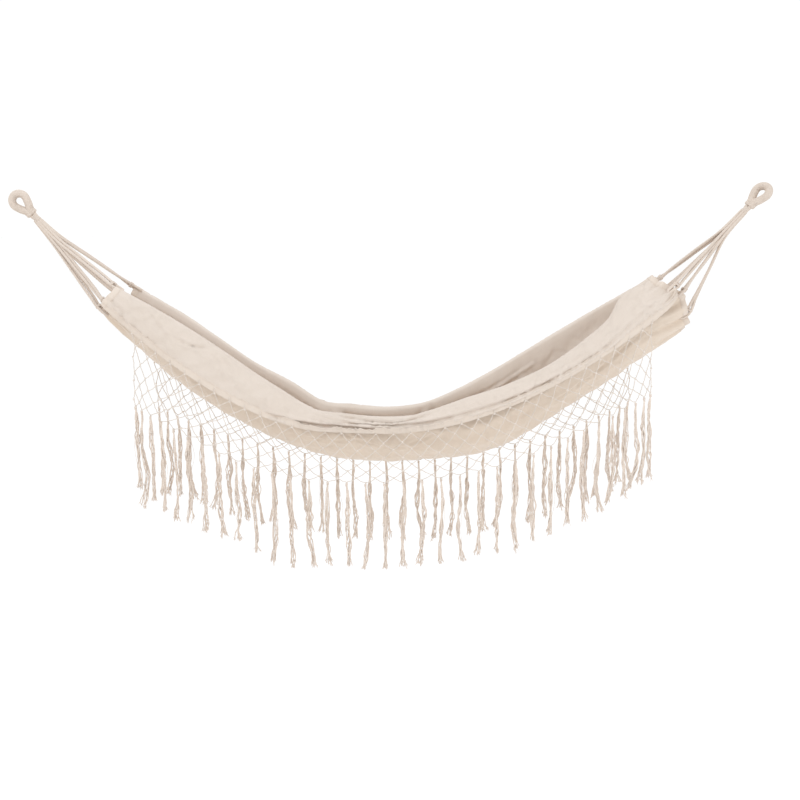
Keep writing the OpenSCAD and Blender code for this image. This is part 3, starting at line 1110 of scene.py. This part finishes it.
# How far each cord's two strands turn from side by side to one behind the other, in degrees
STRAND_TURN = {-1: (25, 25, 15, 30, 78), 1: (20, 62, 74, 64, 30)}


def hitch(place, away, apart, seed):
    """Two and a half turns of cord that bind the two strands of a doubled cord just outside the hem."""
    dice = np.random.default_rng(seed)
    a = np.linspace(0, 5 * math.pi, 50) + dice.uniform(0, 6)
    other = unit(np.cross(away, apart))
    turn = np.cos(a)[:, None] * apart * 0.0088 + np.sin(a)[:, None] * other * 0.0058
    along = np.linspace(-0.0045, 0.0045, 50) + 0.0012 * np.sin(0.7 * a)
    return place + turn + away * along[:, None]


def make_cords(grid, normals, end, material):
    """Five doubled cords. Each is one rope from the neck, through the end hem in a bight, and back."""
    side = "left" if end < 0 else "right"
    column, inner = (0, 5) if end < 0 else (-1, -6)
    places = row_places()
    beside = np.array([-end * math.sin(NECK_SLOPE), 0, math.cos(NECK_SLOPE)])
    half = STRAND_D * 0.47
    rise = 0.0056
    hitches = []
    for n in range(CORDS):
        j = int(np.argmin(np.abs(places - HEM_PLACES[end][n])))
        hem = grid[column, j]
        back = unit(grid[inner, j] - hem)
        out = normals[column, j]
        y, e = NECK_SPREAD[n]
        offset = np.array([0, y, 0]) + beside * e
        start = eye_point(end, NECK_REACH - 0.004, 0, 0) + offset * 0.5
        fan = eye_point(end, NECK_REACH + FAN_REACH[end], 0, 0) + offset * FAN_WIDTH[end]
        away = unit(hem - fan)
        apart = unit(np.cross(away, np.cross(out, away)))
        turn = math.radians(STRAND_TURN[end][n])
        behind = unit(np.array([0, 1.0, 0]) - away * away[1])
        level = unit(np.cross(away, behind)) * math.cos(turn) + behind * math.sin(turn)
        level = level * np.sign(level @ apart)
        hole = hem + back * 0.013
        quarter, most = fan + (hem - fan) * 0.40, fan + (hem - fan) * 0.80
        outside = [start + level * half * 0.6, fan + level * half, quarter + level * half,
                   most + (level + apart) * half * 0.7, hem - away * 0.008 + apart * rise,
                   hole - back * 0.004 + apart * rise]
        bight = [hole + back * 0.0045 + apart * rise * 0.72, hole + back * 0.0070,
                 hole + back * 0.0045 - apart * rise * 0.72]
        inside = [hole - back * 0.004 - apart * rise, hem - away * 0.008 - apart * rise,
                  most - (level + apart) * half * 0.7, quarter - level * half, fan - level * half,
                  start - level * half * 0.6]
        path = path_through(outside + bight + inside, 0.0022)
        name = f"{side}_cord_{n + 1}"
        piece, centre = sweep(name + "_rope", path, TwistedRope(STRAND_D, STRAND_LAY, taper=0.5))
        give(piece, material)
        fit(piece, "bed", name)
        if n == 2:
            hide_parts(side + "_bundle")
        hitches.append((hitch(hem - away * 0.013, away, apart, 40 + n), 1.0))
    return hitches


# ---------------------------------------------------------------- the whole hammock
tree = yarn_tree()
cloth_cotton = woven_cotton("bed_cotton", CREAM, SHADE)
# Painted warm shade: a warmer, tan copy of the bed cotton on the back shell of the cloth, so the belly and other
# undersides look warmly shaded
painted_shade_cotton = woven_cotton("bed_cotton_underside", (0.745, 0.625, 0.515), (0.640, 0.518, 0.405))
hem_cotton = woven_cotton("hem_cotton", (0.738, 0.630, 0.538), (0.615, 0.508, 0.412))
rope_cotton = spun_cotton("rope_cotton", (0.700, 0.590, 0.500), (0.540, 0.440, 0.355))
served_cotton = spun_cotton("served_cotton", (0.720, 0.610, 0.520), (0.530, 0.430, 0.345))
yarn_cotton = plied_yarn("net_cotton", (0.760, 0.665, 0.580), (0.540, 0.455, 0.380), 0.004)
tassel_cotton = plied_yarn("tassel_cotton", (0.800, 0.685, 0.588), (0.600, 0.490, 0.400), 0.005)

set_camera()
set_light()

stations, grid = bed_surface()
shape_ends(stations, grid)
grid = wrinkle(stations, grid)
grid = settle(stations, grid)
fold(grid)
normals = grid_normals(grid)
hitches = []
for end in (-1, 1):
    hitches.extend(make_cords(grid, normals, end, rope_cotton))
    make_eye(end, served_cotton, served_cotton, rope_cotton)

cloth = cloth_piece(grid, cloth_cotton, painted_shade_cotton)
fit(cloth, "bed", "bed_cloth")

seams = []
for side, row_name in ((-1, "near"), (1, "far")):
    row = 0 if side < 0 else -1
    inward = unit(grid[:, 4 if side < 0 else -5] - grid[:, row])
    hem = band(row_name + "_hem_fold", grid[:, row], inward, normals[:, row], EDGE_HEM_W, HEM_T, hem_cotton,
               start=-0.0012)
    fit(hem, "bed", row_name + "_hem")
    seam = grid[:, row] + inward * (EDGE_HEM_W - 0.004)
    seams.extend(stitches(seam, normals[:, row], -HEM_T / 2 - 0.0004))
    seams.extend(stitches(seam, normals[:, row], HEM_T / 2 + 0.0004))
for end, side in ((-1, "left"), (1, "right")):
    column = 0 if end < 0 else -1
    inward = unit(grid[5 if end < 0 else -6] - grid[column])
    hem = band(side + "_end_hem_fold", grid[column], inward, normals[column], END_HEM_W, HEM_T * 0.85,
               hem_cotton, start=-0.0012)
    fit(hem, "bed", side + "_end_hem")
    seam = grid[column] + inward * (END_HEM_W - 0.004)
    seams.extend(stitches(seam, normals[column], -HEM_T / 2))
    seams.extend(stitches(seam, normals[column], HEM_T / 2))
binding = yarns("cord_hitches", tree, rope_cotton, hitches, HITCH_YARN_R, 7)
fit(binding, "bed")
sewing = yarns("hem_stitches", tree, hem_cotton, seams, STITCH_R, 5)
fit(sewing, "bed")

for side, row_name in ((-1, "near"), (1, "far")):
    net, points = make_net(grid, side, row_name + "_net_yarn", tree, yarn_cotton)
    fit(net, "bed", row_name + "_net")
    make_tassels(points, side, row_name, tree, tassel_cotton)
